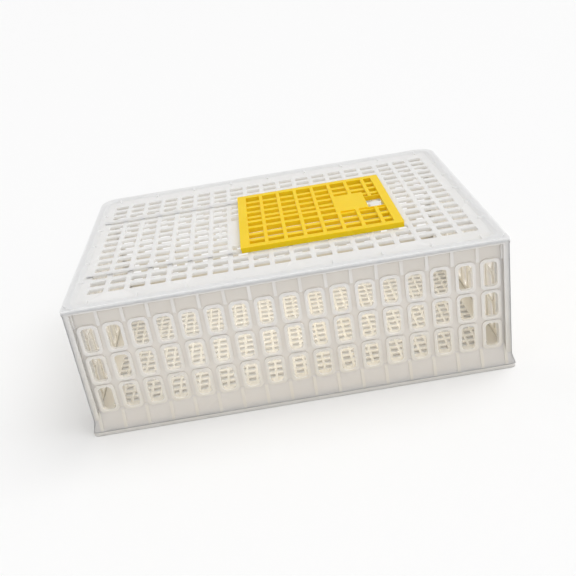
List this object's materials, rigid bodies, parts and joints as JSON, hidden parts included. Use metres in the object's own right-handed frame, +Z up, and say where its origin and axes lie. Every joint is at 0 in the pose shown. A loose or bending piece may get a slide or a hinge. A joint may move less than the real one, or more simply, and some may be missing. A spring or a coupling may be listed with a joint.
{
  "type": "poultry transport crate",
  "caption": "Low ventilated plastic crate for carrying live birds, with slotted walls, raised grille floor and a sliding loading door in the lid.",
  "frame": {"origin": "middle of the foot plane, on the surface that the crate stands on", "axes": "+X along the long side, +Y to the back long wall, +Z up; the door slides towards -X"},
  "size_m": [0.76, 0.56, 0.258],
  "materials": {
    "white_plastic": "natural translucent white HDPE, satin with handling scuffs",
    "yellow_plastic": "yellow HDPE, satin",
    "rod_steel": "zinc-plated rod"
  },
  "bodies": {
    "crate": {"floor_panel": "white_plastic", "lid_panel": "white_plastic", "front_wall": "white_plastic", "back_wall": "white_plastic", "left_wall": "white_plastic", "right_wall": "white_plastic", "corner_rod_front_left": "rod_steel", "corner_rod_front_right": "rod_steel", "corner_rod_back_left": "rod_steel", "corner_rod_back_right": "rod_steel", "front_guide_rail": "white_plastic", "back_guide_rail": "white_plastic"},
    "door": {"sliding_door": "yellow_plastic"},
    "catch": {"door_catch": "white_plastic"}
  },
  "joints": [
    {"name": "door_slide", "type": "slide", "parent": "crate", "child": "door", "axis": [-1, 0, 0], "range_m": [0, 0.28]},
    {"name": "catch_press", "type": "hinge", "parent": "crate", "child": "catch", "pos_m": [0.193, -0.1, 0.2454], "axis": [-1, 0, 0], "range_deg": [0, 9.5], "stiffness_Nm_per_rad": 0.6, "springref_deg": -5.73}
  ]
}
